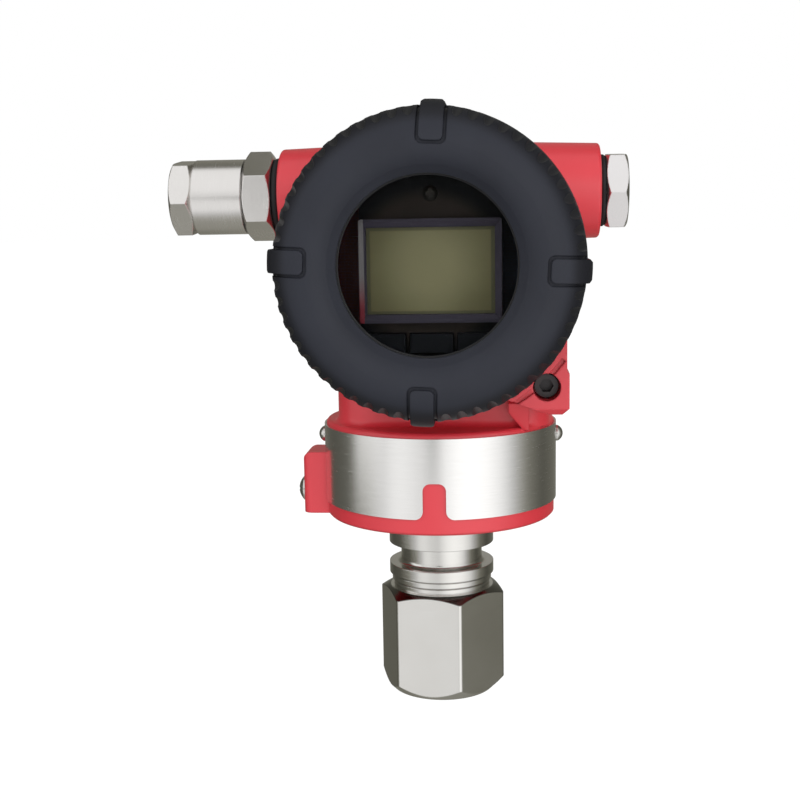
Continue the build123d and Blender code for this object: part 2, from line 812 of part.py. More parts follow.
def lock_screw(plane, across):
    seat = flange_face - pocket_depth
    screw = rod(lock_head_radius, seat, seat + lock_head_height)
    screw += rod(lock_shank_radius, seat - lock_shank_length, seat)
    socket = extrude(RegularPolygon(lock_socket_flats / sqrt(3), 6), lock_socket_depth)
    screw -= Pos(0, 0, seat + lock_head_height - lock_socket_depth) * socket
    return on(plane, Pos(across * lock_x, lock_rise, 0) * screw)


# Covers, drawn along local Z with the skirt's end at skirt_end

def rim_outline(shoulder, grow_radius, grow_height):
    """Outer outline of a cover from its skirt over the shoulder to the crest."""
    crest = shoulder + shoulder_height
    side = shoulder_radius + grow_radius
    top = crest + grow_height
    bulge = sqrt(0.5)
    outline = Line((skirt_radius + grow_radius, skirt_end), (side, shoulder))
    outline += ThreePointArc(
        (side, shoulder),
        (crest_radius + (side - crest_radius) * bulge, shoulder + (top - shoulder) * bulge),
        (crest_radius, top))
    return outline


def rim_solid(shoulder, grow_radius, grow_height):
    top = shoulder + shoulder_height + grow_height
    outline = rim_outline(shoulder, grow_radius, grow_height)
    outline += Polyline((crest_radius, top), (0, top), (0, skirt_end),
                        (skirt_radius + grow_radius, skirt_end))
    return turned(outline)


def pad_plan(grow):
    """Plan of a wrench pad, rounded inside and chamfered outside, or of the moat round it."""
    half = pad_width / 2 + grow
    tip = pad_outer + (2 * cut_over if grow else 0)
    plan = make_face(Polyline((pad_inner - grow, -half), (tip, -half), (tip, half),
                              (pad_inner - grow, half), close=True))
    plan = fillet(plan.vertices().group_by(Axis.X)[0], pad_round + grow / 2)
    return plan if grow else chamfer(plan.vertices().group_by(Axis.X)[-1], pad_chamfer)


def dressed_rim(blank, shoulder):
    """Add the pads with their moats and the grip flutes to a turned cover."""
    crest = shoulder + shoulder_height
    core = rim_solid(shoulder, -moat_depth, -moat_depth)
    moat = Pos(0, 0, shoulder) * extrude(pad_plan(moat_width), shoulder_height + cut_over) - core
    pad_block = Pos(0, 0, skirt_end) * extrude(pad_plan(0.0), crest + 2 * cut_over - skirt_end)
    pad_core = rod(cover_bore_radius + pad_skirt_wall, skirt_end, shoulder)
    pad = (pad_block & rim_solid(shoulder, pad_lift, pad_front_lift)) - pad_core
    pad -= rim_solid(shoulder, -2 * moat_depth, -2 * moat_depth)
    turns = [pad_turn + pads_per_turn * index for index in range(pad_count)]
    cover = blank - [Rot(0, 0, turn) * moat for turn in turns]
    cover -= flutes(shoulder)
    for turn in turns:
        cover += Rot(0, 0, turn) * pad
    return cover


def flutes(shoulder):
    """Tilted round cutters that scallop the shoulder between the pads."""
    tip_radius = crest_radius + (shoulder_radius - crest_radius) * flute_reach
    tip_height = shoulder_height * sqrt(1 - flute_reach ** 2)
    tilt = atan2(shoulder_radius - flute_end_depth - tip_radius, tip_height)
    cutter = Pos(tip_radius + flute_radius * cos(tilt), 0, shoulder + tip_height + flute_radius * sin(tilt)) \
        * Rot(0, -degrees(tilt), 0) * Cylinder(flute_radius, flute_length)
    count = round(360 / flute_pitch)
    tools = []
    for index in range(count):
        turn = flute_pitch * (index + 0.5)
        beside = (turn + pads_per_turn / 2) % pads_per_turn - pads_per_turn / 2
        if abs(beside) > pad_clear_angle:
            tools.append(Rot(0, 0, pad_turn + turn) * cutter)
    return tools


def front_cover():
    shoulder = skirt_end + front_skirt
    crest = shoulder + shoulder_height
    bevel = crest - bevel_drop
    lip = bevel - bevel_depth
    seat = lip - lip_thickness
    glass_back = seat - gasket_thickness - glass_thickness
    bore = glass_radius + slip_fit
    thread = retainer_radius + thread_gap
    wall = thread + window_wall
    wall_end = glass_back - retainer_height - window_wall_overrun
    thread_end = skirt_end + seal_pocket_depth + cover_thread_depth
    pocket_floor = crest - cover_pocket_floor
    outline = rim_outline(shoulder, 0.0, 0.0)
    outline += TangentArc((crest_radius, crest), (bevel_radius, bevel), tangent=(-1, 0))
    outline += Polyline(
        (bevel_radius, bevel), (window_radius, lip), (window_radius, seat), (bore, seat),
        (bore, glass_back), (thread, glass_back), (thread, wall_end), (wall, wall_end),
        (wall + window_wall_draft, pocket_floor), (cover_pocket_outer - cover_pocket_draft, pocket_floor),
        (cover_pocket_outer, thread_end), (cover_bore_radius, thread_end),
        (cover_bore_radius, skirt_end + seal_pocket_depth),
        (seal_pocket_radius, skirt_end + seal_pocket_depth), (seal_pocket_radius, skirt_end),
        (skirt_radius, skirt_end))
    return on(front, dressed_rim(turned(outline), shoulder))


def rear_cover():
    shoulder = skirt_end + rear_skirt
    crest = shoulder + shoulder_height
    dish = crest - rear_dish_drop
    inside = dish - rear_wall
    thread_end = rear_end + rear_thread_runout
    outline = rim_outline(shoulder, 0.0, 0.0)
    outline += TangentArc((crest_radius, crest), (rear_dish_radius, dish), tangent=(-1, 0))
    outline += Polyline(
        (rear_dish_radius, dish), (0, dish), (0, inside), (crest_radius, inside),
        (cover_pocket_outer, thread_end), (cover_bore_radius, thread_end),
        (cover_bore_radius, skirt_end + seal_pocket_depth),
        (seal_pocket_radius, skirt_end + seal_pocket_depth), (seal_pocket_radius, skirt_end),
        (skirt_radius, skirt_end))
    return on(rear, dressed_rim(turned(outline), shoulder))


def cover_o_ring(plane):
    return on(plane, ring_seal(seal_radius, seal_section, flange_face + seat_gap + seal_section / 2))


def window_stack():
    """Heights of the window's seat, the glass's two faces and the retainer's rear face."""
    seat = skirt_end + front_skirt + shoulder_height - bevel_drop - bevel_depth - lip_thickness
    glass_front = seat - gasket_thickness
    glass_back = glass_front - glass_thickness
    return seat, glass_front, glass_back, glass_back - retainer_height


def window_gasket():
    seat, glass_front, _, _ = window_stack()
    return on(front, tube(glass_radius, window_radius + gasket_step, glass_front, seat))


def window_glass():
    _, glass_front, glass_back, _ = window_stack()
    return on(front, rod(glass_radius, glass_back, glass_front))


def window_retainer():
    _, _, glass_back, ring_back = window_stack()
    ring = tube(retainer_radius, retainer_bore, ring_back, glass_back)
    for turn in (0, 90):
        slot = Box(2 * retainer_radius + cut_over, retainer_slot_width, 2 * retainer_slot_depth)
        ring -= Rot(0, 0, turn) * Pos(0, 0, ring_back) * slot
    return on(front, ring)


# Display module

def stack_heights():
    """Rear face of each layer of the display module, counted forward from the bulkhead."""
    main = bulkhead_front + post_height
    spacer = main + board_thickness
    display = spacer + standoff_height
    posts = display + board_thickness
    plate = posts + bezel_post_height
    face = plate + bezel_plate
    return {"main": main, "spacer": spacer, "display": display, "posts": posts,
            "plate": plate, "face": face, "frame": face + frame_lift}


def screw_holes(start, end):
    hole = rod(display_shank_radius + slip_fit, start - cut_over, end + cut_over)
    return [Pos(x, y, 0) * hole for x, y in post_places()]


def main_board():
    z = stack_heights()["main"]
    top = z + board_thickness
    board = rod(main_board_radius, z, top)
    board -= screw_holes(z, top)
    for place, size in ((plug_socket_place, plug_socket), (chip_place, chip)):
        length, width, height = size
        board += Pos(*place, top - sink) * extrude(Rectangle(length, width), height + sink)
    board += Pos(*coil_place, 0) * rod(coil_radius, top - sink, top + coil_height)
    return on(front, board)


def board_standoffs():
    z = stack_heights()["spacer"]
    bar = extrude(RegularPolygon(standoff_flats / sqrt(3), 6), standoff_height)
    bar -= rod(display_shank_radius + slip_fit, -cut_over, standoff_height + cut_over)
    spacers = [front.location * (Pos(x, y, z) * bar) for x, y in post_places()]
    return Compound(children=spacers)


def module_plan(half_width, radius):
    """Disc cut off by two upright flats."""
    return Circle(radius) & Rectangle(2 * half_width, 2 * radius + cut_over)


def display_board():
    z = stack_heights()["display"]
    top = z + board_thickness
    plan = module_plan(display_board_half_width, display_board_radius)
    board = Pos(0, 0, z) * extrude(plan, board_thickness)
    board -= screw_holes(z, top)
    return on(front, board)


def key_places():
    return [(key_pitch * step, -key_drop) for step in (-1, 0, 1)]


def display_bezel():
    z = stack_heights()
    plate = Pos(0, 0, z["plate"]) * extrude(module_plan(bezel_half_width, bezel_radius), bezel_plate)
    shift = Pos(0, -frame_center_drop, 0)
    outer = RectangleRounded(frame_width, frame_height, frame_corner)
    rim = shift * Pos(0, 0, z["plate"]) * extrude(outer, bezel_plate + frame_lift)
    bezel = plate + rim
    opening = Rectangle(lcd_width, lcd_height)
    bezel -= shift * Pos(0, 0, z["plate"] - cut_over) \
        * extrude(opening, bezel_plate + frame_lift + 2 * cut_over)
    mouth = Rectangle(lcd_width + 2 * frame_slope_width, lcd_height + 2 * frame_slope_width)
    throat = Pos(0, 0, -frame_slope_depth) * opening
    bezel -= shift * Pos(0, 0, z["frame"]) * loft([throat.face(), mouth.face()])
    rim_space = 2 * (lcd_carrier + slip_fit)
    pocket = Rectangle(lcd_width + rim_space, lcd_height + rim_space)
    lcd_front = z["frame"] - lcd_sink
    bezel -= shift * Pos(0, 0, z["plate"] - cut_over) \
        * extrude(pocket, lcd_front - lcd_ledge - z["plate"] + cut_over)
    hole = Rectangle(key_width + 2 * seat_gap, key_height + 2 * seat_gap)
    for x, y in key_places():
        bezel -= Pos(x, y, z["plate"] - cut_over) * extrude(hole, bezel_plate + 2 * cut_over)
    for x, y in post_places():
        bezel += Pos(x, y, 0) * rod(bezel_post_radius, z["posts"], z["plate"] + sink)
    bezel -= screw_holes(z["posts"], z["face"])
    return on(front, bezel)


def lcd_panel():
    z = stack_heights()
    front_z = z["frame"] - lcd_sink
    shift = Pos(0, -frame_center_drop, 0)
    glass = Rectangle(lcd_width - 2 * slip_fit, lcd_height - 2 * slip_fit)
    carrier = Rectangle(lcd_width + 2 * lcd_carrier, lcd_height + 2 * lcd_carrier)
    panel = shift * Pos(0, 0, front_z - lcd_thickness) * extrude(glass, lcd_thickness)
    base = z["posts"] + seat_gap
    panel += shift * Pos(0, 0, base) * extrude(carrier, front_z - lcd_ledge - slip_fit - base)
    return on(front, panel)


def key(place):
    z = stack_heights()
    x, y = place
    foot = z["plate"] - seat_gap - key_flange_thickness
    cap = RectangleRounded(key_width, key_height, key_corner)
    cap = Pos(0, 0, foot) * extrude(cap, z["face"] + key_stand - foot)
    flange = Rectangle(key_width + 2 * key_side_flange, key_height + 2 * key_flange)
    cap += Pos(0, 0, foot) * extrude(flange, key_flange_thickness)
    stem_foot = z["posts"] + key_travel + seat_gap
    cap += rod(key_stem_radius, stem_foot, foot + key_flange_thickness)
    return on(front, Pos(x, y, 0) * cap)


def display_screws():
    z = stack_heights()
    screws = []
    for x, y in post_places():
        screw = dome_screw(display_head_radius, display_head_height, display_shank_radius,
                           display_shank_length, True)
        screws.append(front.location * (Pos(x, y, z["face"]) * screw))
    return Compound(children=screws)


# Rear compartment

def terminal_xs():
    return [terminal_pitch * (index - (terminal_count - 1) / 2) for index in range(terminal_count)]


def terminal_block():
    base = -bulkhead_back
    block = extrude(RectangleRounded(block_width, block_height, block_corner), block_depth)
    for x in terminal_xs():
        cell = box_between((x - terminal_cell_width / 2, x + terminal_cell_width / 2),
                           (-block_height / 2 - cut_over, block_height / 2 - terminal_cell_wall),
                           (block_depth - terminal_cell_depth, block_depth + cut_over))
        block -= cell
        hole = rod(terminal_shank_radius + slip_fit, terminal_hole_floor, block_depth)
        block -= Pos(x, -terminal_screw_drop, 0) * hole
    for across in (-1, 1):
        hole = Pos(across * block_screw_spread, 0, 0)
        block -= hole * rod(terminal_shank_radius + slip_fit, -cut_over, block_depth + cut_over)
        block -= hole * rod(block_sink_radius, block_depth - block_sink_depth, block_depth + cut_over)
    return on(rear, Pos(0, -block_drop, base) * block)


def terminal_screws():
    screws = []
    for x in terminal_xs():
        screw = dome_screw(terminal_head_radius, terminal_head_height, terminal_shank_radius,
                           terminal_shank_length, True)
        washer = tube(terminal_head_radius + washer_overhang, terminal_shank_radius, -washer_thickness, 0)
        seat = block_depth - terminal_cell_depth + washer_thickness - bulkhead_back
        screws.append(rear.location * (Pos(x, -terminal_screw_drop - block_drop, seat) * (screw + washer)))
    return Compound(children=screws)


def terminal_block_screws():
    screws = []
    for across in (-1, 1):
        screw = dome_screw(block_head_radius, block_head_height, terminal_shank_radius,
                           block_shank_length, True)
        seat = block_depth - block_sink_depth - bulkhead_back
        screws.append(rear.location * (Pos(across * block_screw_spread, -block_drop, seat) * screw))
    return Compound(children=screws)


def inner_ground_screw():
    screw = dome_screw(inner_ground_head_radius, terminal_head_height, terminal_shank_radius,
                       inner_ground_shank_length, True)
    seat = inner_ground_boss_height - bulkhead_back
    return on(rear, Pos(0, -inner_ground_drop, seat) * screw)


# Cable gland

def gland_faces():
    """Distances from the middle plane of the gland's hexagon faces and thread end."""
    hex_face = gland_boss_end + gland_seal_section + slip_fit
    hex_end = hex_face + gland_hex_length
    return hex_face, hex_end, hex_end + gland_male_length


def gland_o_ring():
    middle = gland_boss_end + slip_fit / 2 + gland_seal_section / 2
    return on(left, ring_seal(gland_seal_radius, gland_seal_section, middle))


def gland_body():
    hex_face, hex_end, male_end = gland_faces()
    body = Pos(0, 0, hex_face) * hex_bar(gland_hex_flats, gland_hex_length, turn=gland_hex_turn)
    body += rod(gland_shank_radius, gland_boss_end - gland_shank_length, hex_face)
    body += rod(gland_male_radius, hex_end, male_end)
    body -= rod(gland_bore, gland_boss_end - gland_shank_length - cut_over, male_end + cut_over)
    body -= rod(gland_cup_radius, male_end - gland_cup_depth, male_end + cut_over)
    return on(left, body)


def gland_seal():
    _, _, male_end = gland_faces()
    start = male_end - gland_cup_depth
    return on(left, tube(gland_cup_radius - slip_fit, gland_rubber_bore, start, start + gland_rubber_length))


def gland_stack():
    """Where the slip ring and the nut's inner wall sit."""
    _, _, male_end = gland_faces()
    ring_start = male_end - gland_cup_depth + gland_rubber_length + slip_fit
    return ring_start, ring_start + gland_ring_thickness


def gland_slip_ring():
    start, end = gland_stack()
    return on(left, tube(gland_ring_radius, gland_ring_bore, start, end))


def gland_nut():
    _, hex_end, _ = gland_faces()
    _, ring_end = gland_stack()
    start = hex_end + gland_nut_gap
    step = start + gland_nut_skirt
    end = step + gland_nut_hex_length
    nut = rod(gland_nut_radius, start, step)
    nut += rod(gland_nut_neck_radius, step - sink, step + gland_nut_neck + sink)
    nut += Pos(0, 0, step + gland_nut_neck) \
        * hex_bar(gland_nut_flats, gland_nut_hex_length - gland_nut_neck, turn=gland_nut_turn)
    nut -= rod(gland_male_radius + conduit_thread_gap, start - cut_over, ring_end + slip_fit)
    nut -= rod(gland_bore, start, end + cut_over)
    return on(left, nut)


# Blanking plug

def plug_o_ring():
    middle = boss_end + slip_fit / 2 + plug_seal_section / 2
    return on(right, ring_seal(plug_seal_radius, plug_seal_section, middle))


def blanking_plug():
    face = boss_end + plug_seal_section + slip_fit
    plug = Pos(0, 0, face) * hex_bar(plug_flats, plug_hex_length, turn=plug_turn)
    plug += rod(plug_shank_radius, face - plug_shank_length, face)
    plug -= rod(plug_shank_radius - plug_wall, face - plug_shank_length - cut_over, face - plug_floor)
    return on(right, plug)


keys = key_places()
parts = {
    "process_connection": process_connection(),
    "isolating_diaphragm": isolating_diaphragm(),
    "sensor_capsule": sensor_capsule(),
    "capsule_o_ring": capsule_o_ring(),
    "capsule_lock_ring": capsule_lock_ring(),
    "header_board": header_board(),
    "housing": housing(),
    "nameplate_band": nameplate_band(),
    "band_rivets": band_rivets(),
    "ground_screw": ground_screw(),
    "front_lock_screw": lock_screw(front, 1),
    "rear_lock_screw": lock_screw(rear, -1),
    "front_cover": front_cover(),
    "window_gasket": window_gasket(),
    "window_glass": window_glass(),
    "window_retainer": window_retainer(),
    "front_cover_o_ring": cover_o_ring(front),
    "main_board": main_board(),
    "board_standoffs": board_standoffs(),
    "display_board": display_board(),
    "lcd_panel": lcd_panel(),
    "display_bezel": display_bezel(),
    "display_screws": display_screws(),
    "key_left": key(keys[0]),
    "key_middle": key(keys[1]),
    "key_right": key(keys[2]),
    "terminal_block": terminal_block(),
    "terminal_screws": terminal_screws(),
    "terminal_block_screws": terminal_block_screws(),
    "inner_ground_screw": inner_ground_screw(),
    "rear_cover": rear_cover(),
    "rear_cover_o_ring": cover_o_ring(rear),
    "gland_body": gland_body(),
    "gland_o_ring": gland_o_ring(),
    "gland_seal": gland_seal(),
    "gland_slip_ring": gland_slip_ring(),
    "gland_nut": gland_nut(),
    "blanking_plug": blanking_plug(),
    "plug_o_ring": plug_o_ring(),
}

os.makedirs("parts", exist_ok=True)
for name, solid in parts.items():
    export_step(solid, f"parts/{name}.step")
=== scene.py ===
from math import atan2, ceil, cos, pi, radians, sin

import bmesh
import bpy
from mathutils import Matrix, Vector


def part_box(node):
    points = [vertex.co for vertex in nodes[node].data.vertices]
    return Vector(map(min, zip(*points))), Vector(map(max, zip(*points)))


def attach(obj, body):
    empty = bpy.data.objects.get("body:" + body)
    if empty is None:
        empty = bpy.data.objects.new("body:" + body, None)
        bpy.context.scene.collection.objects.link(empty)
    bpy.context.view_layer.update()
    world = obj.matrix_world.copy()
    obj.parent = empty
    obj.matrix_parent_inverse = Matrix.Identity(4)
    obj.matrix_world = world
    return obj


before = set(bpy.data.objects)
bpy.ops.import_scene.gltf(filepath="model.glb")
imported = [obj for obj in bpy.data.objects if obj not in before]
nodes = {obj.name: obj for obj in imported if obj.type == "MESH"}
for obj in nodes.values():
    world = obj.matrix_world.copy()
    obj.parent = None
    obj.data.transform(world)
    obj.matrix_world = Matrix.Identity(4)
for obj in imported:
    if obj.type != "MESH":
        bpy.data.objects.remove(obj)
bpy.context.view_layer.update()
mm = 0.001
barrelZ = 139.9 * mm        # axis of the barrel and both covers, along Y
conduitZ = 160.7 * mm       # axis of the gland and the plug, along X
print("frame loaded with", len(nodes), "nodes")


# The camera stands a little right of the middle, above the window, and looks slightly down
viewpoint = {
    "place": (21.0 * mm, -399.2 * mm, 152.5 * mm),
    "towards": (-0.0837, 0.9863, -0.1424),
    "right": (0.9965, 0.0822, -0.0165),
    "lens": 56.2,
    "sensorWidth": 36,
    "clipStart": 0.01,
}


def addCamera():
    camera = bpy.data.cameras.new("camera")
    camera.lens = viewpoint["lens"]
    camera.sensor_width = viewpoint["sensorWidth"]
    camera.clip_start = viewpoint["clipStart"]
    holder = bpy.data.objects.new("camera", camera)
    back = -Vector(viewpoint["towards"]).normalized()
    right = Vector(viewpoint["right"]).normalized()
    up = back.cross(right).normalized()
    right = up.cross(back)
    turn = Matrix((right, up, back)).transposed().to_4x4()
    holder.matrix_world = Matrix.Translation(viewpoint["place"]) @ turn
    bpy.context.scene.collection.objects.link(holder)
    bpy.context.scene.camera = holder


addCamera()
print("camera placed")


# Shader sockets that take Python arithmetic
class Wire:
    def __init__(self, paint, socket):
        self.paint = paint
        self.socket = socket

    def maths(self, operation, first, second=0.0):
        return self.paint.node("Math", {"operation": operation}, {0: first, 1: second})

    def __add__(self, other):
        return self.maths("ADD", self, other)

    def __radd__(self, other):
        return self.maths("ADD", other, self)

    def __sub__(self, other):
        return self.maths("SUBTRACT", self, other)

    def __rsub__(self, other):
        return self.maths("SUBTRACT", other, self)

    def __mul__(self, other):
        return self.maths("MULTIPLY", self, other)

    def __rmul__(self, other):
        return self.maths("MULTIPLY", other, self)

    def __truediv__(self, other):
        return self.maths("DIVIDE", self, other)

    def __rtruediv__(self, other):
        return self.maths("DIVIDE", other, self)

    def __gt__(self, other):
        return self.maths("GREATER_THAN", self, other)

    def __lt__(self, other):
        return self.maths("LESS_THAN", self, other)

    def __abs__(self):
        return self.maths("ABSOLUTE", self)

    def root(self):
        return self.maths("SQRT", self)

    def sine(self):
        return self.maths("SINE", self)

    def angleFrom(self, other):
        return self.maths("ARCTAN2", self, other)


# A material or world being made: any node comes from node()
class Paint:
    def __init__(self, holder):
        holder.use_nodes = True
        self.tree = holder.node_tree
        self.shader = self.tree.nodes.get("Principled BSDF")

    def node(self, kind, settings=None, inputs=None, output=0):
        made = self.tree.nodes.new("ShaderNode" + kind)
        for name, value in (settings or {}).items():
            if name == "stops":
                self.fillRamp(made.color_ramp, value)
            else:
                setattr(made, name, value)
        for name, value in (inputs or {}).items():
            self.feed(made.inputs[name], value)
        return Wire(self, made.outputs[output])

    def fillRamp(self, ramp, stops):
        while len(ramp.elements) < len(stops):
            ramp.elements.new(0.5)
        for element, (position, colour) in zip(ramp.elements, stops):
            element.position = position
            element.color = (*colour, 1)

    def feed(self, socket, value):
        if isinstance(value, Wire):
            self.tree.links.new(value.socket, socket)
        else:
            socket.default_value = value

    def setShader(self, values):
        for name, value in values.items():
            self.feed(self.shader.inputs[name], value)

    def shaderWire(self):
        return Wire(self, self.shader.outputs[0])

    def showSurface(self, shader, output="Material Output"):
        self.feed(self.tree.nodes[output].inputs["Surface"], shader)

    def split(self, vector):
        return [self.node("SeparateXYZ", inputs={"Vector": vector}, output=axis) for axis in "XYZ"]

    def objectPlace(self):
        return self.split(self.node("TexCoord", output="Object"))

    def vector(self, x, y, z):
        return self.node("CombineXYZ", inputs={"X": x, "Y": y, "Z": z})

    def noise(self, scale, detail, vector=None, rough=0.5):
        place = vector or self.node("TexCoord", output="Object")
        return self.node("TexNoise", inputs={
            "Vector": place, "Scale": scale, "Detail": detail, "Roughness": rough})

    def mixed(self, factor, first, second):
        first = first if isinstance(first, Wire) else (*first, 1)
        second = second if isinstance(second, Wire) else (*second, 1)
        return self.node("Mix", {"data_type": "RGBA"}, {0: factor, 6: first, 7: second}, output=2)

    def ranged(self, value, low, high, newLow=0.0, newHigh=1.0):
        return self.node("MapRange", {"interpolation_type": "SMOOTHSTEP"}, {
            "Value": value, "From Min": low, "From Max": high, "To Min": newLow, "To Max": newHigh})

    def blend(self, factor, first, second):
        return self.node("Mix", {"data_type": "FLOAT"}, {0: factor, 2: first, 3: second})

    def softEdges(self, radius):
        return self.node("Bevel", {"samples": 4}, {"Radius": radius})

    def bump(self, height, strength, distance, under=None):
        inputs = {"Height": height, "Strength": strength, "Distance": distance}
        if under is not None:
            inputs["Normal"] = under
        return self.node("Bump", inputs=inputs)


def newMaterial(name):
    material = bpy.data.materials.new(name)
    return material, Paint(material)


def distance(across, up):
    return (across * across + up * up).root()


def around(paint, axis, centre):
    # angle, distance from the axis and place along it, for turned surfaces
    x, y, z = paint.objectPlace()
    if axis == "Z":
        across, up, along = x, y, z
    elif axis == "Y":
        across, up, along = x, z - centre, y
    else:
        across, up, along = y, z - centre, x
    return up.angleFrom(across), distance(across, up), along


# Glossy red powder coat of the casting, with faint orange peel
redPaint = {
    "low": (0.54, 0.028, 0.040), "high": (0.61, 0.038, 0.054),
    "roughness": 0.38, "roughnessSpread": 0.12, "coat": 0.2, "coatRoughness": 0.2,
    "cloudScale": 45, "peelScale": 1500, "dustScale": 5200, "dustShare": 0.2,
    "peel": 0.10, "peelDepth": 0.12 * mm, "softEdge": 0.7 * mm,
}


def makeRedPaint():
    material, paint = newMaterial("redPaint")
    cloud = paint.noise(redPaint["cloudScale"], 3)
    peel = paint.noise(redPaint["peelScale"], 2)
    dust = paint.noise(redPaint["dustScale"], 1)
    relief = peel * (1 - redPaint["dustShare"]) + dust * redPaint["dustShare"]
    paint.setShader({
        "Base Color": paint.mixed(cloud, redPaint["low"], redPaint["high"]),
        "Roughness": redPaint["roughness"] + (cloud - 0.5) * redPaint["roughnessSpread"],
        "Coat Weight": redPaint["coat"],
        "Coat Roughness": redPaint["coatRoughness"],
        "Normal": paint.bump(relief, redPaint["peel"], redPaint["peelDepth"],
                             paint.softEdges(redPaint["softEdge"]))})
    return material


# Semi-matt blue-black powder coat of the covers, with painted shade darkening it towards their rims
blackPaint = {
    # the rim colour and the radii below set the painted shade on the covers' rims
    "low": (0.013, 0.014, 0.020), "high": (0.020, 0.022, 0.031), "rim": (0.005, 0.005, 0.007),
    "rimShadeFrom": 38.0 * mm, "rimShadeTo": 41.5 * mm, "rimShade": 0.7,
    "roughness": 0.52, "roughnessSpread": 0.2, "specular": 0.26,
    "cloudScale": 60, "grainScale": 2600,
    "grain": 0.22, "grainDepth": 0.1 * mm, "softEdge": 0.5 * mm,
}


def makeBlackPaint():
    material, paint = newMaterial("blackPaint")
    cloud = paint.noise(blackPaint["cloudScale"], 3)
    grain = paint.noise(blackPaint["grainScale"], 3, rough=0.6)
    colour = paint.mixed(cloud, blackPaint["low"], blackPaint["high"])
    angle, radius, along = around(paint, "Y", barrelZ)
    # painted shade: the coat darkens between these radii from the barrel's axis
    rim = paint.ranged(radius, blackPaint["rimShadeFrom"], blackPaint["rimShadeTo"],
                       0.0, blackPaint["rimShade"])
    paint.setShader({
        "Base Color": paint.mixed(rim, colour, blackPaint["rim"]),
        "Roughness": blackPaint["roughness"] + (grain - 0.5) * blackPaint["roughnessSpread"],
        "Specular IOR Level": blackPaint["specular"],
        "Normal": paint.bump(grain, blackPaint["grain"], blackPaint["grainDepth"],
                             paint.softEdges(blackPaint["softEdge"]))})
    return material


# Turned stainless steel: fine lathe lines round each piece's own axis
turnedSteel = {
    "lineScale": 6500, "lineCurl": 1.5, "lineDepth": 0.05 * mm, "lineSpread": 0.16,
    "cloudScale": 70, "cloudSpread": 0.08, "softEdge": 0.45 * mm,
}
turnedPieces = {
    # axis and its height, roughness, strength of the lathe lines, dark and light tone
    "connectionSteel": ("Z", 0.0, 0.17, 0.05, (0.60, 0.585, 0.55), (0.76, 0.75, 0.73)),
    "glandSteel": ("X", conduitZ, 0.24, 0.08, (0.72, 0.70, 0.68), (0.88, 0.86, 0.84)),
    "plugSteel": ("X", conduitZ, 0.24, 0.06, (0.76, 0.74, 0.735), (0.90, 0.88, 0.88)),
}
# Painted shade: the chamfer on top of the connection's hexagon is darkened, which also dims the red
# of the housing that the steel mirrors there
paintedChamferShade = {
    "hexTop": 34.2 * mm, "radius": 17.0 * mm, "slope": 0.577, "tone": (0.24, 0.235, 0.22),
    "below": 0.15 * mm, "above": 0.1 * mm,
}


def makeTurnedSteel(name, axis, centre, roughness, marks, dark, light):
    material, paint = newMaterial(name)
    angle, radius, along = around(paint, axis, centre)
    scale = turnedSteel["lineScale"]
    lines = paint.noise(1.0, 3, paint.vector(
        angle * turnedSteel["lineCurl"], radius * scale, along * scale))
    cloud = paint.noise(turnedSteel["cloudScale"], 3)
    tone = paint.mixed(lines * 0.5 + cloud * 0.5, dark, light)
    if name == "connectionSteel":
        # painted shade on the hexagon's top chamfer
        cone = along + (radius - paintedChamferShade["radius"]) * paintedChamferShade["slope"]
        chamfer = ((cone > paintedChamferShade["hexTop"] - paintedChamferShade["below"])
                   * (along < paintedChamferShade["hexTop"] + paintedChamferShade["above"]))
        tone = paint.mixed(chamfer, tone, paintedChamferShade["tone"])
    paint.setShader({
        "Base Color": tone,
        "Metallic": 1.0,
        "Roughness": (roughness + (lines - 0.5) * turnedSteel["lineSpread"]
                      + (cloud - 0.5) * turnedSteel["cloudSpread"]),
        "Normal": paint.bump(lines, marks, turnedSteel["lineDepth"],
                             paint.softEdges(turnedSteel["softEdge"]))})
    return material


# Brushed stainless strip, with its brush lines running round the collar
bandSteel = {
    "dark": (0.76, 0.75, 0.73), "light": (0.90, 0.89, 0.88), "roughness": 0.24,
    "lineSpread": 0.16, "scratchSpread": 0.06, "radialScale": 500,
    "lineCurl": 5, "lineScale": 7000, "scratchCurl": 22, "scratchScale": 2400,
    "lineRelief": 0.8, "scratchRelief": 0.4, "relief": 0.06, "reliefDepth": 0.05 * mm,
}


def makeBandSteel():
    material, paint = newMaterial("bandSteel")
    angle, radius, along = around(paint, "Z", 0.0)
    deep = radius * bandSteel["radialScale"]
    lines = paint.noise(1.0, 4, paint.vector(
        angle * bandSteel["lineCurl"], deep, along * bandSteel["lineScale"]), 0.65)
    scratches = paint.noise(1.0, 2, paint.vector(
        angle * bandSteel["scratchCurl"], deep, along * bandSteel["scratchScale"]), 0.6)
    relief = lines * bandSteel["lineRelief"] + scratches * bandSteel["scratchRelief"]
    paint.setShader({
        "Base Color": paint.mixed(lines, bandSteel["dark"], bandSteel["light"]),
        "Metallic": 1.0,
        "Roughness": (bandSteel["roughness"] + (lines - 0.5) * bandSteel["lineSpread"]
                      + (scratches - 0.5) * bandSteel["scratchSpread"]),
        "Normal": paint.bump(relief, bandSteel["relief"], bandSteel["reliefDepth"])})
    return material


# Screws and rivets: bright plated ones, black ones and dull ones
screwSteel = {
    "cloudScale": 400, "roughnessSpread": 0.16,
    "relief": 0.05, "reliefDepth": 0.05 * mm, "softEdge": 0.15 * mm,
}
screwKinds = {
    # dark and light tone, and roughness
    "platedSteel": ((0.60, 0.59, 0.56), (0.74, 0.73, 0.70), 0.16),
    "blackScrew": ((0.05, 0.048, 0.05), (0.09, 0.085, 0.085), 0.34),
    "dullScrew": ((0.05, 0.044, 0.04), (0.08, 0.07, 0.065), 0.45),
}


